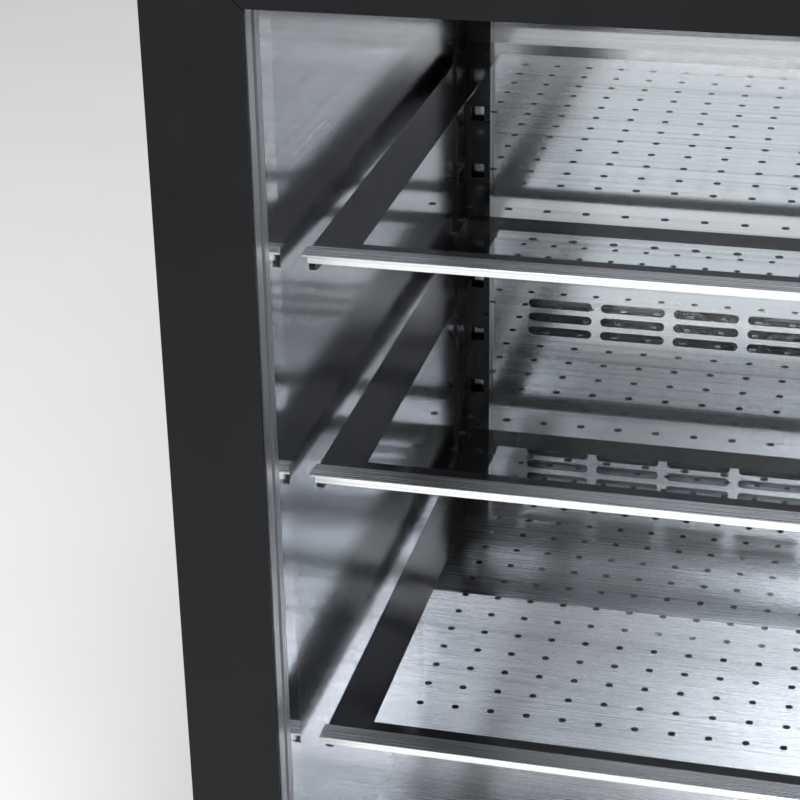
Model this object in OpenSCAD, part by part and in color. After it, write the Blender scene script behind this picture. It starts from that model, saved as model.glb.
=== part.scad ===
// Glass door merchandiser: an undercounter refrigerated display cabinet with one hinged glass
// door, three glass shelves and a compressor step at the bottom rear.
// Millimetres. +Z is up, the door faces -Y, and the origin is at the bottom centre.

/* [Cabinet] */
// Width of the outer casing
cab_w = 600; // [560:1:660]
// Height of the casing's top above the ground
cab_h = 905; // [900:1:940]
// Width between the stainless side walls
liner_w = 480; // [470:1:486]
// Height of the inside floor above the ground
floor_z = 145; // [143:1:150]
// Height of the inside ceiling above the ground
ceiling_z = 845; // [840:1:850]
// Distance from the door's front to the slotted duct panel
back_wall_depth = 585.5; // [570:0.5:600]
// Distance from the door's front to the casing's back
cab_depth = 672; // [665:1:690]
// Thickness of the casing, liner and duct sheets
sheet_t = 1; // [0.8:0.1:1.2]

/* [Rear step] */
// Height of the step above the inside floor
step_h = 100; // [90:1:104]
// Distance from the door's front to the step's front face
step_depth = 408.5; // [400:0.5:415]

/* [Door] */
// Face width of the door's black frame
frame_w = 60; // [56:1:62]
// Thickness of the door
door_t = 28; // [28:1:30]
// Height of the door's lower edge above the ground
door_lo = 89; // [89:1:90]
// Thickness of the gasket between door and cabinet
gasket_t = 9; // [8:0.5:10]
// Thickness of each pane
pane_t = 4; // [3:0.5:4]
// How far the handle stands in front of the door
handle_reach = 44; // [40:1:50]
// Length of the handle's grip
handle_len = 320; // [240:10:400]

/* [Shelves] */
// Width of a glass shelf
shelf_w = 462; // [450:1:464]
// Depth of a glass shelf with its front trim
shelf_d = 490; // [470:1:494]
// Distance from the door's front to the shelves' front edges
shelf_setback = 71.5; // [68:0.5:76]
// Thickness of the shelf glass
glass_t = 4; // [4:0.5:5]
// Height of the lowest shelf above the inside floor
shelf_low = 178; // [170:1:182]
// Rack steps from the lowest shelf up to the lowest, middle and top shelf
shelf_steps = [0, 4, 7]; // [0:1:7]
// How far a shelf lifts to clear its brackets
shelf_lift = 20; // [10:1:25]

/* [Rack] */
// Spacing of the rack windows
rack_pitch = 50; // [48:0.5:50]
// Width of the rack's narrow front face
rack_face = 22; // [20:1:24]
// Length of the rack's leg along the side wall
rack_leg = 48; // [44:1:50]

/* [Air slots] */
// Length of an air slot
slot_len = 55.5; // [50:0.5:56]
// Height of an air slot
slot_h = 8; // [6:0.5:9]
// Spacing of the slots along a row
slot_pitch = 63; // [60:1:64]
// Spacing of the rows
slot_row = 12.8; // [12:0.1:14]
// Heights of the two slot groups above the inside floor
slot_groups = [135.5, 279]; // [130:0.5:300]

/* [Base] */
// Height of the kick panel's top above the ground
kick_top = 83; // [80:1:83]
// Diameter of a levelling foot's pad
foot_d = 40; // [34:1:44]
// Diameter of a levelling foot's stud
stud_d = 10; // [8:1:10]

/* [Hidden] */
$fn = 48;

// Places along Y
total_d = cab_depth + handle_reach;
door_front = handle_reach - total_d / 2;
door_rear = door_front + door_t;
face_y = door_rear + gasket_t;
cab_rear = door_front + cab_depth;
wall_y = door_front + back_wall_depth;
duct_rear = wall_y + 45;
step_y = door_front + step_depth;
shelf_y = door_front + shelf_setback;
shelf_rear = shelf_y + shelf_d;
kick_y = door_front + 12;

// Places along X and Z
half_w = cab_w / 2;
half_in = liner_w / 2;
door_half = half_w - 2;
open_half = door_half - frame_w;
mouth_x = half_in + 1.1;
door_hi = cab_h - 2;
open_lo = door_lo + frame_w;
open_hi = door_hi - frame_w;
base_z = 36;
mouth_lo = base_z + 52;
foam_z = 98;
step_z = floor_z + step_h;
machine_top = step_z - 40;
machine_y = step_y + 40;

// Door section, measured back from the door's front
lip_t = 2.5;
pane_y1 = door_front + lip_t;
spacer_y = pane_y1 + pane_t;
spacer_t = 10;
pane_y2 = spacer_y + spacer_t;
bead_y = pane_y2 + pane_t;
rebate = 12;
groove = 1;
pane_half = open_half + rebate;
hinge_x = 14 - door_half;
hinge_y = door_front + 14;
pin_d = 8;
pin_fit = 0.1;
pin_len = 14;
plate_t = 3;

// Places of the machine parts
comp_x = -150;
comp_y = 245;
comp_d = 150;
comp_base = 46;
comp_h = 138;
fan_x = 150;
fan_z = 124;
motor_y = 236;
evap_z = floor_z + slot_groups[1];
evap_y = wall_y + 2;
coil_z = step_z + 300;
coil_half = 180;
tray_z = coil_z - 24;
tray_y = wall_y + 3;
drain_x = 150;
drain_y = duct_rear - 14;
inlet_x = -62;
inlet_z = 110;
feet_x = half_w - 45;
feet_y = [face_y + 45, cab_rear - 45];

// Places of the controls
ctrl_x = 196;
ctrl_z = 60;
switch_x = 128;
rocker_pin = 3;
button_xs = [210, 220, 230];
lock_x = door_half - 34;
lock_z = door_lo + 19;
lock_d = 16;
handle_d = 14;
handle_x = door_half - 20;
handle_mid = (door_lo + door_hi) / 2 + 40;
handle_zs = [handle_mid - handle_len / 2 + 20, handle_mid + handle_len / 2 - 20];

// Rack, brackets and shelves
function shelf_top(i) = floor_z + shelf_low + shelf_steps[i] * rack_pitch;
rack_lo = step_z + 2;
rack_hi = ceiling_z - 12;
rack_t = 2;
rack_y = wall_y - 10;
arm_w = 4;
arm_h = 34;
arm_in = half_in - 15;
nose_d = 8;
win_w = 11.5;
win_h = 13;
win_x = arm_in + win_w / 2 - 2;
first_win = shelf_top(0) - glass_t - 18;

// A block between two opposite corners
module slab(lo, hi)
    translate(lo) cube(hi - lo);

// A round bar from one point, along a vector that lies on one axis
module bar_x(p, len, d) translate(p) rotate([0, 90, 0]) cylinder(d = d, h = len);
module bar_y(p, len, d) translate(p) rotate([-90, 0, 0]) cylinder(d = d, h = len);
module bar_z(p, len, d) translate(p) cylinder(d = d, h = len);

// A slot with round ends, cut along Y
module slot_cut(x, y, z, len, h, deep) {
    r = h / 2;
    slab([x - len / 2 + r, y, z - r], [x + len / 2 - r, y + deep, z + r]);
    for (s = [-1, 1])
        bar_y([x + s * (len / 2 - r), y, z], deep, h);
}

// ---- Casing ----

module side_panel(s) {
    inner = half_w - sheet_t;
    slab([min(s * inner, s * half_w), face_y, base_z],
        [max(s * inner, s * half_w), cab_rear, cab_h - sheet_t]);
    // front return that the gasket closes on
    slab([min(s * mouth_x, s * inner), face_y, mouth_lo],
        [max(s * mouth_x, s * inner), face_y + sheet_t, cab_h - sheet_t]);
}

module side_panel_left() color("#2a2b2e") side_panel(-1);
module side_panel_right() color("#2a2b2e") side_panel(1);

module top_panel() color("#2a2b2e") {
    slab([-half_w, face_y, cab_h - sheet_t], [half_w, cab_rear, cab_h]);
    slab([-mouth_x, face_y, ceiling_z + 1.1],
        [mouth_x, face_y + sheet_t, cab_h - sheet_t]);
}

module back_panel() color("#55575a")
    slab([sheet_t - half_w, cab_rear - sheet_t, machine_top],
        [half_w - sheet_t, cab_rear, cab_h - sheet_t]);

module base_frame() color("#3a3b3d") {
    x = half_w - sheet_t;
    difference() {
        union() {
            slab([-x, face_y + 1, base_z], [x, cab_rear - 1, base_z + 2]);
            for (sx = [-1, 1], y = feet_y)
                bar_z([sx * feet_x, y, base_z + 2], 12, 20);
        }
        for (sx = [-1, 1], y = feet_y)
            bar_z([sx * feet_x, y, base_z - 1], 16, stud_d + 0.6);
    }
    // upstands that carry the foamed floor
    for (s = [-1, 1])
        slab([s * (x - 1) - 1, face_y + 1, base_z + 2], [s * (x - 1) + 1, machine_y, foam_z]);
    // apron between the kick panel and the inside floor
    slab([-mouth_x, face_y, mouth_lo], [mouth_x, face_y + sheet_t, floor_z - 1.1]);
}

module kick_panel() color("#232427") {
    slots = 7;
    x = half_w - 4;
    difference() {
        union() {
            slab([-x, kick_y, base_z + 2], [x, kick_y + 1.5, kick_top]);
            for (s = [-1, 1])
                slab([s * (x - 1) - 1, kick_y + 1.5, base_z + 2],
                    [s * (x - 1) + 1, face_y, kick_top]);
        }
        for (i = [0:slots - 1], row = [0:2])
            slot_cut(-235 + 48 * i, kick_y - 1, base_z + 13 + 12 * row, 40, 5, 4);
        slab([ctrl_x - 36, kick_y - 1, ctrl_z - 15], [ctrl_x + 42, kick_y + 3, ctrl_z + 15]);
        slab([switch_x - 10.5, kick_y - 1, ctrl_z - 7], [switch_x + 10.5, kick_y + 3, ctrl_z + 7]);
    }
}

module rear_grille() color("#3a3b3d") difference() {
    slab([sheet_t - half_w, cab_rear - sheet_t, base_z + 2],
        [half_w - sheet_t, cab_rear, machine_top - 1]);
    for (i = [0:6], row = [0:5])
        slot_cut(12 + 40 * i, cab_rear - 2, base_z + 34 + 20 * row, 30, 6, 4);
    for (i = [0:3], row = [0:5])
        slot_cut(-258 + 40 * i, cab_rear - 2, base_z + 34 + 20 * row, 30, 6, 4);
    slab([inlet_x - 14, cab_rear - 2, inlet_z - 10.5], [inlet_x + 14, cab_rear + 1, inlet_z + 10.5]);
}

module insulation() color("#e8dfa8") {
    difference() {
        slab([sheet_t - half_w, face_y + sheet_t, foam_z],
            [half_w - sheet_t, cab_rear - sheet_t, cab_h - sheet_t]);
        // room for the lining, with the step at the rear
        slab([-half_in - 1, face_y, floor_z - 1], [half_in + 1, step_y + 1, ceiling_z + 1]);
        slab([-half_in - 1, face_y, step_z - 1], [half_in + 1, duct_rear + 1, ceiling_z + 1]);
        slab([-half_w, machine_y, foam_z - 1], [half_w, cab_rear, machine_top]);
        // way for the drain tube
        bar_z([drain_x, drain_y, machine_top - 1], 42, 17);
    }
}

// ---- Stainless lining ----

// A side wall, cut away behind the step's front
module liner_side(s) {
    x0 = min(s * half_in, s * (half_in + 1));
    slab([x0, door_rear + 4, floor_z - 1], [x0 + 1, step_y + 1, ceiling_z + 1]);
    slab([x0, step_y + 1, step_z - 1], [x0 + 1, duct_rear + 1, ceiling_z + 1]);
}

module liner_left() color("#b9bbbd") liner_side(-1);
module liner_right() color("#b9bbbd") liner_side(1);

module liner_ceiling() color("#b9bbbd")
    slab([-half_in, door_rear + 4, ceiling_z], [half_in, duct_rear + 1, ceiling_z + 1]);

// One folded sheet: floor, step front, step top and the wall behind the duct
module liner_floor() color("#a9abae") {
    difference() {
        union() {
            slab([-half_in, door_rear + 4, floor_z - 1], [half_in, step_y + 1, floor_z]);
            slab([-half_in, step_y, floor_z], [half_in, step_y + 1, step_z]);
            slab([-half_in, step_y + 1, step_z - 1], [half_in, duct_rear + 1, step_z]);
            slab([-half_in, duct_rear, step_z], [half_in, duct_rear + 1, ceiling_z]);
        }
        bar_z([drain_x, drain_y, step_z - 2], 4, 14.6);
    }
}

module duct_panel() color("#c6c8ca") difference() {
    slab([-half_in, wall_y, step_z], [half_in, wall_y + sheet_t, ceiling_z]);
    for (g = slot_groups, row = [-1:1], i = [0:5])
        slot_cut((i - 2.5) * slot_pitch, wall_y - 1, floor_z + g + row * slot_row,
            slot_len, slot_h, 3);
}

// Polished strip round the mouth of the cabinet, with its rear edge rolled
module breaker_frame() color("#d5d7d9") {
    y0 = door_rear + 2;
    y1 = door_front + 51;
    t = half_in - open_half - 0.5;
    for (s = [-1, 1])
        translate([0, 0, floor_z])
            linear_extrude(ceiling_z - floor_z) {
                translate([min(s * half_in, s * (half_in - t)), y0]) square([t, y1 - y0]);
                intersection() {
                    translate([s * half_in, y1]) circle(r = t);
                    translate([min(s * half_in, s * (half_in - t)), y1]) square([t, t]);
                }
            }
    x = half_in - t;
    slab([-x, y0, floor_z], [x, y1, open_lo]);
    slab([-x, y0, open_hi], [x, y1, ceiling_z]);
}

// ---- Rack and shelves ----

module rack(s) difference() {
    // section: leg on the side wall, narrow front face, return to the rear wall
    translate([0, 0, rack_lo]) linear_extrude(rack_hi - rack_lo) {
        x = min(s * half_in, s * (half_in - rack_t));
        translate([x, wall_y - rack_leg]) square([rack_t, rack_leg]);
        translate([min(s * half_in, s * (half_in - rack_face)), rack_y])
            square([rack_face, rack_t]);
        translate([min(s * (half_in - rack_face), s * (half_in - rack_face + rack_t)), rack_y])
            square([rack_t, wall_y - rack_y]);
    }
    for (z = [first_win - rack_pitch:rack_pitch:rack_hi - 14]) {
        slab([s * win_x - win_w / 2, rack_y - 1, z], [s * win_x + win_w / 2, rack_y + 3, z + win_h]);
        slab([s * half_in - 4, wall_y - rack_leg + 8, z], [s * half_in + 4, wall_y - 18, z + win_h]);
    }
}

module rack_left() color("#1d1e20") rack(-1);
module rack_right() color("#1d1e20") rack(1);

// Cantilever arm: round nose, straight top, deeper at the rack, two hooks in a window
module arm(s, top) {
    x = min(s * arm_in, s * (arm_in + arm_w));
    nose = shelf_y + 10;
    translate([x, 0, 0]) rotate([90, 0, 90]) linear_extrude(arm_w) {
        polygon([[nose, top - nose_d], [nose, top], [rack_y, top], [rack_y, top - arm_h],
            [rack_y - 30, top - arm_h]]);
        translate([nose, top - nose_d / 2]) circle(d = nose_d);
        translate([rack_y, top - 17]) square([rack_t + 0.5, 8]);
        translate([rack_y + rack_t + 0.5, top - 20]) square([2.5, 11]);
    }
}

module brackets(s)
    for (i = [0:2])
        arm(s, shelf_top(i) - glass_t - 0.2);

module brackets_left() color("#1d1e20") brackets(-1);
module brackets_right() color("#1d1e20") brackets(1);

module shelf_glass(i) color([0.75, 0.85, 0.88, 0.45])
    slab([-shelf_w / 2, shelf_y + 1.2, shelf_top(i) - glass_t],
        [shelf_w / 2, shelf_rear, shelf_top(i)]);

// Front trim: a flange on the glass and a narrow front face
module shelf_trim(i) color("#c9cbcd") {
    z = shelf_top(i);
    slab([-shelf_w / 2 - 1, shelf_y, z], [shelf_w / 2 + 1, shelf_y + 16, z + 1]);
    x = shelf_w / 2 - 3;
    slab([-x, shelf_y, z - glass_t], [x, shelf_y + 1.2, z]);
}

module shelf_1_glass() shelf_glass(2);
module shelf_2_glass() shelf_glass(1);
module shelf_3_glass() shelf_glass(0);
module shelf_1_trim() shelf_trim(2);
module shelf_2_trim() shelf_trim(1);
module shelf_3_trim() shelf_trim(0);

// ---- Door ----

// The frame's section before mitring: body, front lip over the glass
module frame_ring() {
    difference() {
        slab([-door_half, door_front, door_lo], [door_half, door_rear, door_hi]);
        slab([-open_half, door_front - 1, open_lo], [open_half, door_rear + 1, open_hi]);
        slab([-pane_half, pane_y1, open_lo - rebate], [pane_half, door_rear + 1, open_hi + rebate]);
        for (z = [door_lo - 1, door_hi - pin_len])
            bar_z([hinge_x, hinge_y, z], pin_len + 1, pin_d + pin_fit);
        bar_y([lock_x, door_front - 1, lock_z], door_t + 2, lock_d + 0.4);
        for (z = handle_zs)
            bar_y([handle_x, door_front - 1, z], 7, 5);
    }
}

// A prism through the door from points in the XZ plane
module door_prism(points, t)
    translate([0, door_front - 1, 0]) rotate([90, 0, 0]) mirror([0, 0, 1])
        linear_extrude(t) polygon(points);

// Upright of the frame, mitred at 45 degrees with a shallow groove along each joint
module stile(s) {
    x0 = s * door_half;
    in = frame_w + 20;
    x1 = s * (door_half - in);
    difference() {
        intersection() {
            frame_ring();
            door_prism([[x0, door_lo], [x0, door_hi], [x1, door_hi - in], [x1, door_lo + in]],
                door_t + 2);
        }
        door_prism([[x0, door_hi], [x1, door_hi - in], [x1, door_hi - in - groove],
            [x0, door_hi - groove]], 1 + groove);
        door_prism([[x0, door_lo], [x1, door_lo + in], [x1, door_lo + in + groove],
            [x0, door_lo + groove]], 1 + groove);
    }
}

// Top or bottom rail of the frame, running inwards from height z
module rail(z, dir) {
    w = door_half;
    in = frame_w + 20;
    z1 = z + dir * in;
    intersection() {
        frame_ring();
        door_prism([[-w, z], [w, z], [w - in, z1], [in - w, z1]], door_t + 2);
    }
}

module door_stile_left() color("#2b2c2f") stile(-1);
module door_stile_right() color("#2b2c2f") stile(1);
module door_rail_top() color("#2b2c2f") rail(door_hi, -1);
module door_rail_bottom() color("#2b2c2f") rail(door_lo, 1);

module pane(y) {
    g = 1;
    slab([g - pane_half, y, open_lo - rebate + g], [pane_half - g, y + pane_t, open_hi + rebate - g]);
}

module door_glass_outer() color([0.8, 0.9, 0.9, 0.3]) pane(pane_y1);
module door_glass_inner() color([0.8, 0.9, 0.9, 0.3]) pane(pane_y2);

module ring(in, out, y, t) difference() {
    slab([-open_half - out, y, open_lo - out], [open_half + out, y + t, open_hi + out]);
    slab([-open_half - in, y - 1, open_lo - in], [open_half + in, y + t + 1, open_hi + in]);
}

module door_spacer() color("#a0a2a4") ring(0.5, rebate - 2, spacer_y, spacer_t);
module door_bead() color("#b4b6b8") ring(0, rebate, bead_y, door_rear - bead_y);
module door_gasket() color("#3c3d40") ring(8, 24, door_rear, gasket_t);

module door_handle() color("#1f2022") {
    y = door_front - handle_reach + handle_d / 2;
    bar_z([handle_x, y, handle_mid - handle_len / 2], handle_len, handle_d);
    for (z = handle_zs) {
        bar_y([handle_x, y, z], door_front - y, 11);
        bar_y([handle_x, door_front - 1, z], 6, 4.8);
    }
}

// Key lock: barrel through the bottom rail and a cam behind it
module door_lock() color("#c4c6c8") {
    difference() {
        union() {
            bar_y([lock_x, door_front - 0.1, lock_z], door_t + 1.1, lock_d);
            bar_y([lock_x, door_front - 2.1, lock_z], 2, lock_d + 6);
        }
        slab([lock_x - 1, door_front - 3, lock_z - 4], [lock_x + 1, door_front + 8, lock_z + 4]);
    }
    bar_y([lock_x, door_rear + 1, lock_z], 5, 8);
    slab([lock_x - 15, door_rear + 3, lock_z - 4], [lock_x, door_rear + 5, lock_z + 4]);
}

// Hinge brackets, each with its pin
module hinge_top() color("#2f3033") {
    z = cab_h;
    slab([1 - half_w, hinge_y - 12, z], [57 - half_w, face_y + 46, z + plate_t]);
    bar_z([hinge_x, hinge_y, door_hi - pin_len + 1], z - door_hi + pin_len, pin_d);
    for (y = [face_y + 14, face_y + 34], x = [14, 44])
        bar_z([x - half_w, y, z + plate_t], 2, 9);
}

module hinge_bottom() color("#2f3033") {
    z = door_lo - 2;
    slab([10 - half_w, hinge_y - 12, z - plate_t], [57 - half_w, face_y, z]);
    slab([10 - half_w, face_y - 3, z - 30], [57 - half_w, face_y, z - plate_t]);
    bar_z([hinge_x, hinge_y, z], pin_len + 1, pin_d);
    // fixing tab on the base plate's edge
    slab([14 - half_w, face_y, base_z + 22], [50 - half_w, face_y + 1, base_z + 50]);
}

// ---- Light ----

module light_channel() color("#c0c2c4") {
    y = door_front + 58;
    difference() {
        slab([-200, y, ceiling_z - 10], [200, y + 22, ceiling_z]);
        slab([-198, y + 2, ceiling_z - 11], [198, y + 20, ceiling_z - 2]);
    }
}

module light_diffuser() color("#f4f6fa") {
    y = door_front + 58;
    slab([-198, y + 2, ceiling_z - 10], [198, y + 20, ceiling_z - 8]);
}

// ---- Evaporator ----

module evaporator_coil() color("#b8bcc0") {
    fins = 20;
    pitch = 2 * coil_half / (fins - 1);
    for (i = [0:fins - 1])
        slab([i * pitch - coil_half - 0.5, wall_y + 6, coil_z],
            [i * pitch - coil_half + 0.5, duct_rear - 4, coil_z + 180]);
    for (z = [20:35:165])
        bar_x([-coil_half - 10, wall_y + 23, coil_z + z], 2 * coil_half + 20, 9);
}

module evaporator_fan_frame() color("#222325") difference() {
    slab([-60, evap_y, evap_z - 60], [60, evap_y + 25, evap_z + 60]);
    bar_y([0, evap_y - 1, evap_z], 27, 114);
}

module fan_blades(y, x, z, r, hub, t, n) {
    bar_y([x, y, z], t, hub);
    for (a = [0:360 / n:359])
        translate([x, y + t / 2, z]) rotate([0, a, 0])
            translate([r / 2 + hub / 8, 0, 0]) rotate([35, 0, 0])
                cube([r - hub / 4, 1.6, t * 1.1], center = true);
}

module evaporator_fan_blade() color("#2c2d30")
    fan_blades(evap_y + 6, 0, evap_z, 53, 40, 14, 7);

module drip_tray() color("#9a9da0") difference() {
    slab([-200, tray_y, tray_z], [200, duct_rear - 1, tray_z + 16]);
    slab([-198, tray_y + 2, tray_z + 2], [198, duct_rear - 3, tray_z + 17]);
    bar_z([drain_x, drain_y, tray_z - 1], 4, 12.4);
}

module drain_tube() color("#6d7073") difference() {
    bar_z([drain_x, drain_y, machine_top - 20], tray_z - machine_top + 20, 14);
    bar_z([drain_x, drain_y, machine_top - 21], tray_z - machine_top + 22, 10);
}

// ---- Machine compartment ----

module compressor() color("#1c1d1f") {
    z = comp_base;
    bar_z([comp_x, comp_y, z + 14], comp_h - 36, comp_d);
    translate([comp_x, comp_y, z + comp_h - 22]) cylinder(d1 = comp_d, d2 = 90, h = 22, $fn = 48);
    slab([comp_x - 90, comp_y - 55, z + 8], [comp_x + 90, comp_y + 55, z + 14]);
    for (sx = [-1, 1], sy = [-1, 1])
        bar_z([comp_x + sx * 76, comp_y + sy * 42, base_z + 2], z + 8 - base_z - 2, 24);
    slab([comp_x + 66, comp_y - 26, z + 40], [comp_x + 94, comp_y + 26, z + 96]);
}

module condenser_coil() color("#26282a") {
    fins = 24;
    pitch = 200 / (fins - 1);
    for (i = [0:fins - 1])
        slab([fan_x - 100 + i * pitch - 0.5, machine_y + 12, base_z + 8],
            [fan_x - 100 + i * pitch + 0.5, machine_y + 52, machine_top - 6]);
    for (z = [24:28:140])
        bar_x([fan_x - 112, machine_y + 32, base_z + z], 224, 9);
    for (s = [-1, 1])
        slab([fan_x + s * 104 - 1, machine_y + 10, base_z + 2],
            [fan_x + s * 104 + 1, machine_y + 54, machine_top - 4]);
}

module condenser_shroud() color("#3c3e41") difference() {
    slab([fan_x - 102, machine_y + 56, base_z + 3], [fan_x + 102, machine_y + 74, machine_top - 4]);
    slab([fan_x - 100, machine_y + 55, base_z + 5], [fan_x + 100, machine_y + 72, machine_top - 6]);
    bar_y([fan_x, machine_y + 70, fan_z], 6, 148);
}

module condenser_fan_motor() color("#7a7d80") {
    y = machine_y + 92;
    bar_y([fan_x, y, fan_z], 46, 62);
    slab([fan_x - 8, y + 16, base_z + 2], [fan_x + 8, y + 20, fan_z]);
    slab([fan_x - 30, y + 4, base_z + 2], [fan_x + 30, y + 40, base_z + 5]);
}

module condenser_fan_blade() color("#c9ccce")
    fan_blades(machine_y + 76, fan_x, fan_z, 70, 40, 14, 5);

module refrigerant_pipes() color("#b87443") {
    z1 = comp_base + 60;
    y1 = machine_y + 32;
    // discharge line from the compressor to the condenser
    bar_y([comp_x + 40, y1, z1], comp_y - 66 - y1, 6);
    bar_x([comp_x + 40, y1, z1], fan_x - 112 - comp_x - 40, 6);
    translate([comp_x + 40, y1, z1]) sphere(d = 6, $fn = 24);
    // filter drier on the liquid line
    bar_x([-20, machine_y + 70, comp_base + 24], 56, 22);
    bar_x([-44, machine_y + 70, comp_base + 24], 80, 6);
}

module power_inlet() color("#18191a") {
    slab([inlet_x - 13.7, cab_rear - 24, inlet_z - 10.2], [inlet_x + 13.7, cab_rear, inlet_z + 10.2]);
    slab([inlet_x - 20, cab_rear - 3, inlet_z - 14], [inlet_x + 20, cab_rear - sheet_t, inlet_z + 14]);
}

// ---- Controls ----

module controller() color("#141517") difference() {
    union() {
        slab([ctrl_x - 35.7, kick_y, ctrl_z - 14.7], [ctrl_x + 41.7, kick_y + 24, ctrl_z + 14.7]);
        slab([ctrl_x - 39, kick_y - 3, ctrl_z - 17.5], [ctrl_x + 45, kick_y, ctrl_z + 17.5]);
        slab([switch_x - 10.2, kick_y, ctrl_z - 6.7], [switch_x + 10.2, kick_y + 18, ctrl_z + 6.7]);
        slab([switch_x - 13, kick_y - 1.5, ctrl_z - 9.5], [switch_x + 13, kick_y, ctrl_z + 9.5]);
    }
    // display recess
    slab([ctrl_x - 34, kick_y - 4, ctrl_z - 11], [ctrl_x + 5, kick_y - 1.5, ctrl_z + 11]);
    for (x = button_xs)
        bar_y([x, kick_y - 4, ctrl_z], 12, 7.4);
    slab([switch_x - 7.9, kick_y - 2, ctrl_z - 5.4], [switch_x + 7.9, kick_y + 12, ctrl_z + 5.4]);
    bar_z([switch_x, kick_y + 4, ctrl_z - 6.4], 12.8, rocker_pin + pin_fit);
}

module button(i) bar_y([button_xs[i], kick_y - 4.5, ctrl_z], 8, 7);

module button_up() color("#5f6367") button(0);
module button_down() color("#5f6367") button(1);
module button_set() color("#5f6367") button(2);

// Rocker with a shallow V front, turning on a short cross pin
module light_switch() color("#2e7d5b") {
    translate([switch_x, kick_y + 4, ctrl_z - 5]) linear_extrude(10)
        polygon([[-6.6, -5.5], [0, -3.4], [6.6, -2.5], [5.5, 3], [-5.5, 3]]);
    bar_z([switch_x, kick_y + 4, ctrl_z - 6.2], 12.4, rocker_pin);
}

// ---- Feet ----

module foot(sx, i) color("#4a4c4f") {
    bar_z([sx * feet_x, feet_y[i], 0], 8, foot_d);
    bar_z([sx * feet_x, feet_y[i], 8], 6, 22);
    bar_z([sx * feet_x, feet_y[i], 14], base_z + 20 - 14, stud_d);
}

module foot_front_left() foot(-1, 0);
module foot_front_right() foot(1, 0);
module foot_rear_left() foot(-1, 1);
module foot_rear_right() foot(1, 1);

side_panel_left();
side_panel_right();
top_panel();
back_panel();
base_frame();
kick_panel();
rear_grille();
insulation();
liner_left();
liner_right();
liner_ceiling();
liner_floor();
duct_panel();
breaker_frame();
rack_left();
rack_right();
brackets_left();
brackets_right();
shelf_1_glass();
shelf_2_glass();
shelf_3_glass();
shelf_1_trim();
shelf_2_trim();
shelf_3_trim();
door_stile_left();
door_stile_right();
door_rail_top();
door_rail_bottom();
door_glass_outer();
door_glass_inner();
door_spacer();
door_bead();
door_gasket();
door_handle();
door_lock();
hinge_top();
hinge_bottom();
light_channel();
light_diffuser();
evaporator_coil();
evaporator_fan_frame();
evaporator_fan_blade();
drip_tray();
drain_tube();
compressor();
condenser_coil();
condenser_shroud();
condenser_fan_motor();
condenser_fan_blade();
refrigerant_pipes();
power_inlet();
controller();
button_up();
button_down();
button_set();
light_switch();
foot_front_left();
foot_front_right();
foot_rear_left();
foot_rear_right();
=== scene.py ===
import math

import bmesh
import bpy
from mathutils import Matrix, Vector


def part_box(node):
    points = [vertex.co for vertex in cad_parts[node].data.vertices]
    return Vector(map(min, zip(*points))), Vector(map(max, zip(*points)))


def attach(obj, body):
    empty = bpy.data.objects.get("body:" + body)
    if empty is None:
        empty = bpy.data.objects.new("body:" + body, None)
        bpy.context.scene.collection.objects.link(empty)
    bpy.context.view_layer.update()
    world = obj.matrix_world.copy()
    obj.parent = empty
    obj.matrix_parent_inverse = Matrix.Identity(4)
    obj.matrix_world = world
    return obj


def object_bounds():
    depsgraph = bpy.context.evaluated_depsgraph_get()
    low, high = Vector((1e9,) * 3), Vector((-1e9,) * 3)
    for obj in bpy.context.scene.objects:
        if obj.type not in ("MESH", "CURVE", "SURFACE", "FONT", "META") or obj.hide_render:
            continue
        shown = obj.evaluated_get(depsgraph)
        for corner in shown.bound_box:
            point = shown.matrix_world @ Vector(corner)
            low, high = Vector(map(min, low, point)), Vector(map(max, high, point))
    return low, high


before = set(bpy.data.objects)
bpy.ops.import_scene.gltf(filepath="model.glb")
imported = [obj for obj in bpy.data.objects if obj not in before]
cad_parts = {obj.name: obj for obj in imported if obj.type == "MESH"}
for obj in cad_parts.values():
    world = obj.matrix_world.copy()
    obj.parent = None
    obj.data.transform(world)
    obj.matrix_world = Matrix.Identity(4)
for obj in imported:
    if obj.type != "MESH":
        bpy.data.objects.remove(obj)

MM = 0.001


def corners(box):
    """A box's two corners as plain lists."""
    return [list(box[0]), list(box[1])]


cad_bounds = corners(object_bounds())

# The shelves' printed pattern: a border and a square grid of dots
DOT_PITCH = 25 * MM
DOT_COLUMNS, DOT_ROWS = 15, 16
DOT_D = 5.2 * MM
DOT_FIRST_ROW = 57 * MM  # from the shelf's front edge to the first row
BORDER = 30.5 * MM
BORDER_FRONT = 27 * MM
TRIM_FLANGE = 16.2 * MM  # the print starts behind the trim's flange
PRINT_T = 0.06 * MM
DOT_SIDES = 24
PRINT_EDGE = 0.8 * MM  # clear glass left outside the border

SHELVES = {f"shelf_{i}": f"shelf_{i}_glass" for i in (1, 2, 3)}

# Scratches per metre along and across the grain of brushed metal
GRAIN_ALONG, GRAIN_ACROSS = 4.0, 2400.0

# The camera: metres right of the middle, before the door's front and above the top shelf,
# its turn, tilt and roll in degrees, and its focal length in picture widths
CAMERA_X, CAMERA_BEFORE, CAMERA_ABOVE = 0.1108, 1.0419, 0.4535
CAMERA_YAW, CAMERA_PITCH, CAMERA_ROLL = 14.23, 25.33, 0.93
CAMERA_FOCUS = 2.57125
SENSOR_MM = 36


# ---- Materials ----


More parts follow.
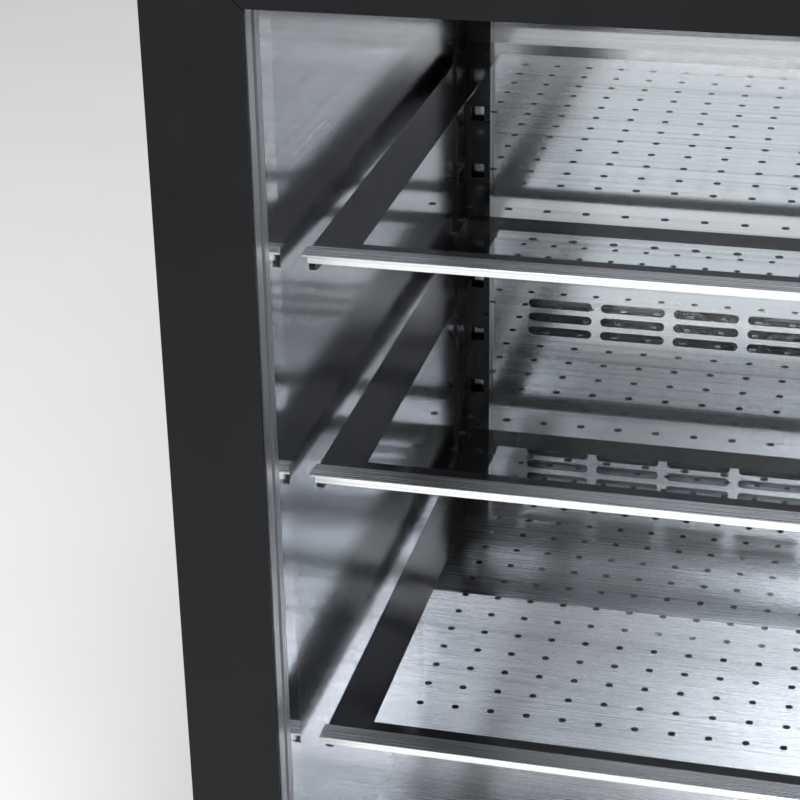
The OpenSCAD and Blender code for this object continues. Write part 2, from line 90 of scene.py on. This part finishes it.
class Maker:
    """A new material with short calls for adding and linking its nodes."""

    def __init__(self, name):
        self.mat = bpy.data.materials.new(name)
        self.mat.use_nodes = True
        self.nt = self.mat.node_tree
        self.nt.nodes.clear()
        self.out = self.add("ShaderNodeOutputMaterial")
        self.shader = self.add("ShaderNodeBsdfPrincipled")
        self.link(self.shader.outputs[0], self.out.inputs["Surface"])
        self.place = self.add("ShaderNodeTexCoord").outputs["Object"]

    def add(self, kind, **props):
        node = self.nt.nodes.new(kind)
        for key, value in props.items():
            setattr(node, key, value)
        return node

    def link(self, a, b):
        self.nt.links.new(a, b)

    def set(self, **values):
        """Sets the Principled node's plain sockets. Underscores stand for spaces."""
        for key, value in values.items():
            self.shader.inputs[key.replace("_", " ")].default_value = value

    def noise(self, stretch, detail=3.0, rough=0.55):
        """Noise in metres, with its own scale along each axis."""
        mapping = self.add("ShaderNodeMapping")
        mapping.inputs["Scale"].default_value = stretch
        self.link(self.place, mapping.inputs["Vector"])
        tex = self.add("ShaderNodeTexNoise")
        tex.inputs["Scale"].default_value = 1.0
        tex.inputs["Detail"].default_value = detail
        tex.inputs["Roughness"].default_value = rough
        self.link(mapping.outputs[0], tex.inputs["Vector"])
        return tex.outputs["Fac"]

    def span(self, fac, lo, hi, start=0.3, end=0.7):
        """A number that runs from lo to hi as fac runs from start to end."""
        node = self.add("ShaderNodeMapRange")
        for key, value in (("From Min", start), ("From Max", end), ("To Min", lo), ("To Max", hi)):
            node.inputs[key].default_value = value
        self.link(fac, node.inputs["Value"])
        return node.outputs[0]

    def shades(self, fac, dark, light, start=0.3, end=0.7):
        """A colour between dark and light."""
        ramp = self.add("ShaderNodeValToRGB")
        first, last = ramp.color_ramp.elements
        first.position, last.position = start, end
        first.color, last.color = (*dark, 1), (*light, 1)
        self.link(fac, ramp.inputs["Fac"])
        return ramp.outputs["Color"]

    def bump(self, height, strength, distance, edge=0.0):
        """Bump from a height, over rounded edges where edge is their radius."""
        node = self.add("ShaderNodeBump")
        node.inputs["Strength"].default_value = strength
        node.inputs["Distance"].default_value = distance
        self.link(height, node.inputs["Height"])
        if edge:
            bevel = self.add("ShaderNodeBevel", samples=4)
            bevel.inputs["Radius"].default_value = edge
            self.link(bevel.outputs[0], node.inputs["Normal"])
        self.link(node.outputs[0], self.shader.inputs["Normal"])

    def colour(self, socket):
        self.link(socket, self.shader.inputs["Base Color"])

    def rough(self, socket):
        self.link(socket, self.shader.inputs["Roughness"])


def brushed(name, tone, rough, grain="x", depth=0.05, stretch=0.5, edge=0.0, tangent="Z"):
    """Brushed sheet metal with its grain along one axis: scratches, bands and smudges."""
    m = Maker(name)
    fine = m.noise([GRAIN_ALONG if axis == grain else GRAIN_ACROSS for axis in "xyz"], 2.0)
    wide = [GRAIN_ALONG * 0.6 if axis == grain else GRAIN_ACROSS * 0.22 for axis in "xyz"]
    coarse = m.noise(wide, 3.0)
    smudge = m.noise((9, 9, 9), 4.0)
    mix = m.add("ShaderNodeMath", operation="ADD")
    m.link(fine, mix.inputs[0])
    m.link(coarse, mix.inputs[1])
    m.colour(m.shades(mix.outputs[0], [t * 0.8 for t in tone], tone, 0.8, 1.2))
    blend = m.add("ShaderNodeMath", operation="MULTIPLY_ADD")
    blend.inputs[1].default_value = 0.15
    m.link(smudge, blend.inputs[0])
    m.link(fine, blend.inputs[2])
    m.rough(m.span(blend.outputs[0], rough * 0.88, rough * 1.12, 0.4, 0.8))
    m.bump(mix.outputs[0], depth, 0.06 * MM, edge)
    m.set(Metallic=1.0, Anisotropic=stretch)
    turn = m.add("ShaderNodeTangent", direction_type="RADIAL", axis=tangent)
    m.link(turn.outputs[0], m.shader.inputs["Tangent"])
    return m.mat


def powder(name, dark, light, rough, grain=2600.0, depth=0.12, shine=0.3):
    """Powder coat: a fine pebbled skin with slight cloudiness and softened edges."""
    m = Maker(name)
    pebbles = m.noise((grain, grain, grain), 2.0)
    cloud = m.noise((14, 14, 14), 3.0)
    m.colour(m.shades(cloud, dark, light))
    m.rough(m.span(cloud, rough * 0.92, rough * 1.1))
    m.bump(pebbles, depth, 0.08 * MM, 0.5 * MM)
    m.set(Specular_IOR_Level=shine)
    return m.mat


def plastic(name, dark, light, rough, depth=0.1):
    """Moulded plastic with a fine spark-eroded texture."""
    m = Maker(name)
    skin = m.noise((1800, 1800, 1800), 4.0, 0.7)
    cloud = m.noise((30, 30, 30), 2.0)
    m.colour(m.shades(cloud, dark, light))
    m.rough(m.span(skin, rough * 0.85, rough * 1.15))
    m.bump(skin, depth, 0.05 * MM, 0.4 * MM)
    return m.mat


def polished(name, tone, rough, wave):
    """Polished sheet with the slow waviness that bends its reflections."""
    m = Maker(name)
    slow = m.noise((30, 30, 14), 1.0)
    haze = m.noise((60, 60, 600), 3.0)
    m.colour(m.shades(haze, [t * 0.93 for t in tone], tone))
    m.rough(m.span(haze, rough * 0.7, rough * 1.4))
    m.bump(slow, wave, 2 * MM)
    m.set(Metallic=1.0)
    return m.mat


def clear_glass(name, tint, shine, smear):
    """Thin clear glass: light passes straight through, with a mirror share that grows at a
    slant and faint wiping marks."""
    m = Maker(name)
    marks = m.noise((18, 60, 60), 4.0)
    m.set(Base_Color=(1, 1, 1, 1), Metallic=1.0)
    m.rough(m.span(marks, 0.01, smear))
    clear = m.add("ShaderNodeBsdfTransparent")
    clear.inputs[0].default_value = (*tint, 1)
    weight = m.add("ShaderNodeLayerWeight")
    weight.inputs["Blend"].default_value = shine
    # only the side that a ray enters by mirrors it, since the ray isn't bent inside
    enters = m.add("ShaderNodeMath", operation="SUBTRACT")
    enters.inputs[0].default_value = 1.0
    m.link(m.add("ShaderNodeNewGeometry").outputs["Backfacing"], enters.inputs[1])
    share = m.add("ShaderNodeMath", operation="MULTIPLY")
    m.link(weight.outputs["Fresnel"], share.inputs[0])
    m.link(enters.outputs[0], share.inputs[1])
    mix = m.add("ShaderNodeMixShader")
    m.link(share.outputs[0], mix.inputs[0])
    m.link(clear.outputs[0], mix.inputs[1])
    m.link(m.shader.outputs[0], mix.inputs[2])
    m.link(mix.outputs[0], m.out.inputs["Surface"])
    return m.mat


def lamp_face(name, tone, strength):
    """An opal cover lit from behind."""
    m = Maker(name)
    soft = m.noise((40, 40, 40), 2.0)
    m.colour(m.shades(soft, [t * 0.95 for t in tone], tone))
    m.set(Roughness=0.5, Emission_Color=(*tone, 1), Emission_Strength=strength)
    m.bump(soft, 0.05, 0.1 * MM)
    return m.mat


def finish_nodes():
    """Gives every CAD node its material."""
    # painted shade: the side walls get a darker tone (0.42) than the back and floor (0.56), though
    # all are the same liner steel
    steel = (0.42, 0.425, 0.45)
    side = brushed("side_steel_painted_shade", steel, 0.14, "y", 0.025, 0.5)
    back = brushed("back_steel", (0.56, 0.565, 0.59), 0.15, "x", 0.02, 0.3)
    flat = brushed("floor_steel", (0.56, 0.565, 0.59), 0.27, "x", 0.02, 0.3, tangent="X")
    trim = brushed("trim_aluminium", (0.86, 0.86, 0.87), 0.28, "x", 0.04, 0.3, 0.25 * MM)
    bead = brushed("bead_aluminium", (0.62, 0.63, 0.65), 0.36, "z", 0.05, 0.3)
    zinc = brushed("galvanised", (0.42, 0.43, 0.44), 0.45, "z", 0.08, 0.1)
    frame_dark, frame_light = (0.005, 0.0055, 0.0065), (0.007, 0.0075, 0.0090)
    frame_black = powder("frame_black", frame_dark, frame_light, 0.45, shine=0.16)
    case_dark, case_light = (0.014, 0.0145, 0.016), (0.02, 0.0205, 0.023)
    case_black = powder("case_black", case_dark, case_light, 0.5, 1600.0, 0.2)
    rack_dark, rack_light = (0.006, 0.006, 0.007), (0.010, 0.010, 0.011)
    rack_black = powder("rack_black", rack_dark, rack_light, 0.28, 900.0, 0.05)
    shelf_clear = clear_glass("shelf_clear", (0.955, 0.968, 0.972), 0.12, 0.02)
    door_clear = clear_glass("door_clear", (0.99, 0.995, 0.993), 0.02, 0.02)
    black_plastic = plastic("black_plastic", (0.012, 0.012, 0.013), (0.02, 0.02, 0.021), 0.45)
    grey_plastic = plastic("grey_plastic", (0.22, 0.225, 0.23), (0.28, 0.285, 0.29), 0.4)
    copper = brushed("copper", (0.78, 0.42, 0.27), 0.25, "x", 0.03, 0.0)
    choices = {
        side: ["liner_left", "liner_right"],
        back: ["duct_panel", "drip_tray"],
        flat: ["liner_floor", "liner_ceiling"],
        polished("polished_steel", (0.5, 0.51, 0.53), 0.09, 0.08): ["breaker_frame"],
        trim: ["shelf_1_trim", "shelf_2_trim", "shelf_3_trim", "light_channel"],
        bead: ["door_spacer", "door_bead"],
        zinc: ["back_panel", "base_frame", "rear_grille", "condenser_shroud"],
        frame_black: ["door_stile_left", "door_stile_right", "door_rail_top", "door_rail_bottom"],
        case_black: ["side_panel_left", "side_panel_right", "top_panel", "kick_panel",
                     "door_handle", "hinge_top", "hinge_bottom"],
        rack_black: ["rack_left", "rack_right", "brackets_left", "brackets_right"],
        shelf_clear: list(SHELVES.values()),
        door_clear: ["door_glass_outer", "door_glass_inner"],
        plastic("gasket", (0.035, 0.035, 0.038), (0.05, 0.05, 0.053), 0.7): ["door_gasket"],
        polished("plated", (0.42, 0.43, 0.44), 0.24, 0.1): ["door_lock"],
        lamp_face("diffuser", (0.94, 0.97, 1.0), 0.4): ["light_diffuser"],
        brushed("fins", (0.66, 0.68, 0.70), 0.3, "z", 0.05, 0.0): [
            "evaporator_coil", "condenser_fan_blade"],
        black_plastic: ["evaporator_fan_frame", "evaporator_fan_blade", "controller",
                        "power_inlet"],
        grey_plastic: ["drain_tube", "button_up", "button_down", "button_set"],
        powder("enamel", (0.008, 0.008, 0.009), (0.014, 0.014, 0.015), 0.3, 700.0, 0.1): [
            "compressor", "condenser_coil"],
        powder("motor_grey", (0.16, 0.165, 0.17), (0.22, 0.225, 0.23), 0.45): [
            "condenser_fan_motor"],
        copper: ["refrigerant_pipes"],
        plastic("switch_green", (0.01, 0.16, 0.07), (0.015, 0.22, 0.10), 0.2): ["light_switch"],
        plastic("foot_nylon", (0.03, 0.03, 0.032), (0.05, 0.05, 0.052), 0.55): [
            "foot_front_left", "foot_front_right", "foot_rear_left", "foot_rear_right"],
        plastic("foam", (0.62, 0.55, 0.30), (0.75, 0.68, 0.42), 0.9, 0.5): ["insulation"],
    }
    for material, names in choices.items():
        for name in names:
            obj = bpy.data.objects[name]
            obj.data.materials.clear()
            obj.data.materials.append(material)
    # clear panes pass lamp light and soft bounced light without dimming it
    for name in ["door_glass_outer", "door_glass_inner", *SHELVES.values()]:
        pane = bpy.data.objects[name]
        pane.visible_shadow = False
        pane.visible_diffuse = False
        pane.visible_glossy = "shelf" in name


# ---- Pieces ----


def piece(name, bm, body, material):
    """Turns a bmesh into a named piece that rides on a body."""
    bmesh.ops.recalc_face_normals(bm, faces=bm.faces)
    mesh = bpy.data.meshes.new(name)
    bm.to_mesh(mesh)
    bm.free()
    mesh.materials.append(material)
    obj = bpy.data.objects.new(name, mesh)
    bpy.context.scene.collection.objects.link(obj)
    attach(obj, body)
    return obj


def add_prism(bm, outline, z0, z1):
    """A closed upright prism over an outline."""
    low = [bm.verts.new((x, y, z0)) for x, y in outline]
    high = [bm.verts.new((x, y, z1)) for x, y in outline]
    bm.faces.new(low[::-1])
    bm.faces.new(high)
    for i in range(len(outline)):
        j = (i + 1) % len(outline)
        bm.faces.new((low[i], low[j], high[j], high[i]))


def add_ring(bm, outer, inner, z0, z1):
    """A closed flat ring between two outlines with the same number of corners."""
    n = len(outer)
    rows = [[bm.verts.new((x, y, z)) for x, y in line] for line in (outer, inner) for z in (z0, z1)]
    outer_low, outer_high, inner_low, inner_high = rows
    for i in range(n):
        j = (i + 1) % n
        bm.faces.new((outer_low[i], outer_low[j], outer_high[j], outer_high[i]))
        bm.faces.new((inner_low[j], inner_low[i], inner_high[i], inner_high[j]))
        bm.faces.new((outer_high[i], outer_high[j], inner_high[j], inner_high[i]))
        bm.faces.new((outer_low[j], outer_low[i], inner_low[i], inner_low[j]))


def rectangle(x0, y0, x1, y1):
    return [(x0, y0), (x1, y0), (x1, y1), (x0, y1)]


def shelf_print(body, glass, material):
    """The black border and the grid of dots printed on a shelf's glass."""
    lo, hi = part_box(glass)
    shelf_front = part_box(glass.replace("glass", "trim"))[0][1]
    bm = bmesh.new()
    z0 = hi[2]
    z1 = z0 + PRINT_T
    front = shelf_front + TRIM_FLANGE
    add_ring(
        bm,
        rectangle(lo[0] + PRINT_EDGE, front, hi[0] - PRINT_EDGE, hi[1] - PRINT_EDGE),
        rectangle(lo[0] + BORDER, shelf_front + BORDER_FRONT, hi[0] - BORDER, hi[1] - BORDER),
        z0,
        z1,
    )
    middle = (lo[0] + hi[0]) / 2
    turn = [2 * math.pi * i / DOT_SIDES for i in range(DOT_SIDES)]
    for column in range(DOT_COLUMNS):
        for row in range(DOT_ROWS):
            x = middle + (column - (DOT_COLUMNS - 1) / 2) * DOT_PITCH
            y = shelf_front + DOT_FIRST_ROW + row * DOT_PITCH
            outline = [(x + DOT_D / 2 * math.cos(a), y + DOT_D / 2 * math.sin(a)) for a in turn]
            add_prism(bm, outline, z0, z1)
    return piece(body + "_print", bm, body, material)


def ceramic_print():
    """Fired black enamel on the shelf glass."""
    m = Maker("ceramic_print")
    fine = m.noise((500, 500, 500), 3.0)
    m.colour(m.shades(fine, (0.006, 0.006, 0.007), (0.010, 0.010, 0.011)))
    m.rough(m.span(fine, 0.07, 0.12))
    m.bump(fine, 0.02, 0.02 * MM)
    return m.mat


# ---- Scene ----


def floor_plane():
    """A plain pale floor far wider than the cabinet."""
    m = Maker("pale_floor")
    soft = m.noise((3, 3, 3), 3.0)
    m.colour(m.shades(soft, (0.80, 0.80, 0.80), (0.83, 0.83, 0.83)))
    m.set(Roughness=0.9, Specular_IOR_Level=0.1)
    m.set(Emission_Color=(1, 1, 1, 1), Emission_Strength=0.17)
    bm = bmesh.new()
    bmesh.ops.create_grid(bm, x_segments=1, y_segments=1, size=30)
    mesh = bpy.data.meshes.new("floor")
    bm.to_mesh(mesh)
    bm.free()
    mesh.materials.append(m.mat)
    obj = bpy.data.objects.new("floor", mesh)
    obj.location.z = cad_bounds[0][2] - 0.5 * MM
    bpy.context.scene.collection.objects.link(obj)


def softbox(name, place, target, size, power, colour=(1, 1, 1)):
    """A rectangular studio light."""
    data = bpy.data.lights.new(name, "AREA")
    data.shape = "RECTANGLE"
    data.size, data.size_y = size
    data.energy = power
    data.color = colour
    obj = bpy.data.objects.new(name, data)
    obj.location = place
    aim = Vector(target) - Vector(place)
    obj.rotation_euler = aim.to_track_quat("-Z", "Y").to_euler()
    bpy.context.scene.collection.objects.link(obj)


def studio():
    """A white surround and three soft lights."""
    world = bpy.data.worlds.new("studio")
    world.use_nodes = True
    back = world.node_tree.nodes["Background"]
    back.inputs["Color"].default_value = (1, 1, 1, 1)
    back.inputs["Strength"].default_value = 0.4
    bpy.context.scene.world = world
    softbox("key", (0.6, -2.1, 2.5), (0, 0.1, 0.3), (1.6, 1.2), 94)
    softbox("top", (0.0, -0.4, 2.6), (0, 0, 0.5), (1.5, 1.5), 20)
    lo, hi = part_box("light_diffuser")
    middle = (Vector(lo) + Vector(hi)) / 2
    under = middle - Vector((0, 0, 4 * MM))
    size = (hi[0] - lo[0] - 20 * MM, hi[1] - lo[1] - 4 * MM)
    softbox("strip", under, under - Vector((0, -0.2, 1)), size, 0.6)


def camera():
    """The camera: above and right of the door's middle, looking down and left inside."""
    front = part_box("door_rail_top")[0][1]
    shelf_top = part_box("shelf_1_glass")[1][2]
    place = Vector((CAMERA_X, front - CAMERA_BEFORE, shelf_top + CAMERA_ABOVE))
    yaw, pitch, roll = (math.radians(a) for a in (CAMERA_YAW, CAMERA_PITCH, CAMERA_ROLL))
    ahead = Vector((-math.sin(yaw), math.cos(yaw), 0))
    look = ahead * math.cos(pitch) - Vector((0, 0, math.sin(pitch)))
    right = Vector((math.cos(yaw), math.sin(yaw), 0))
    down = look.cross(right)
    x = right * math.cos(roll) + down * math.sin(roll)
    y = right * math.sin(roll) - down * math.cos(roll)
    data = bpy.data.cameras.new("camera")
    data.sensor_width = SENSOR_MM
    data.lens = SENSOR_MM * CAMERA_FOCUS
    data.clip_start, data.clip_end = 0.01, 100
    obj = bpy.data.objects.new("camera", data)
    turn = Matrix((x, y, -look)).transposed().to_4x4()
    obj.matrix_world = Matrix.Translation(place) @ turn
    bpy.context.scene.collection.objects.link(obj)
    bpy.context.scene.camera = obj


camera()
finish_nodes()
enamel = ceramic_print()
for shelf, glass in SHELVES.items():
    shelf_print(shelf, glass, enamel)
floor_plane()
studio()
bpy.context.scene.view_settings.view_transform = "Standard"
bpy.context.scene.cycles.transparent_max_bounces = 24
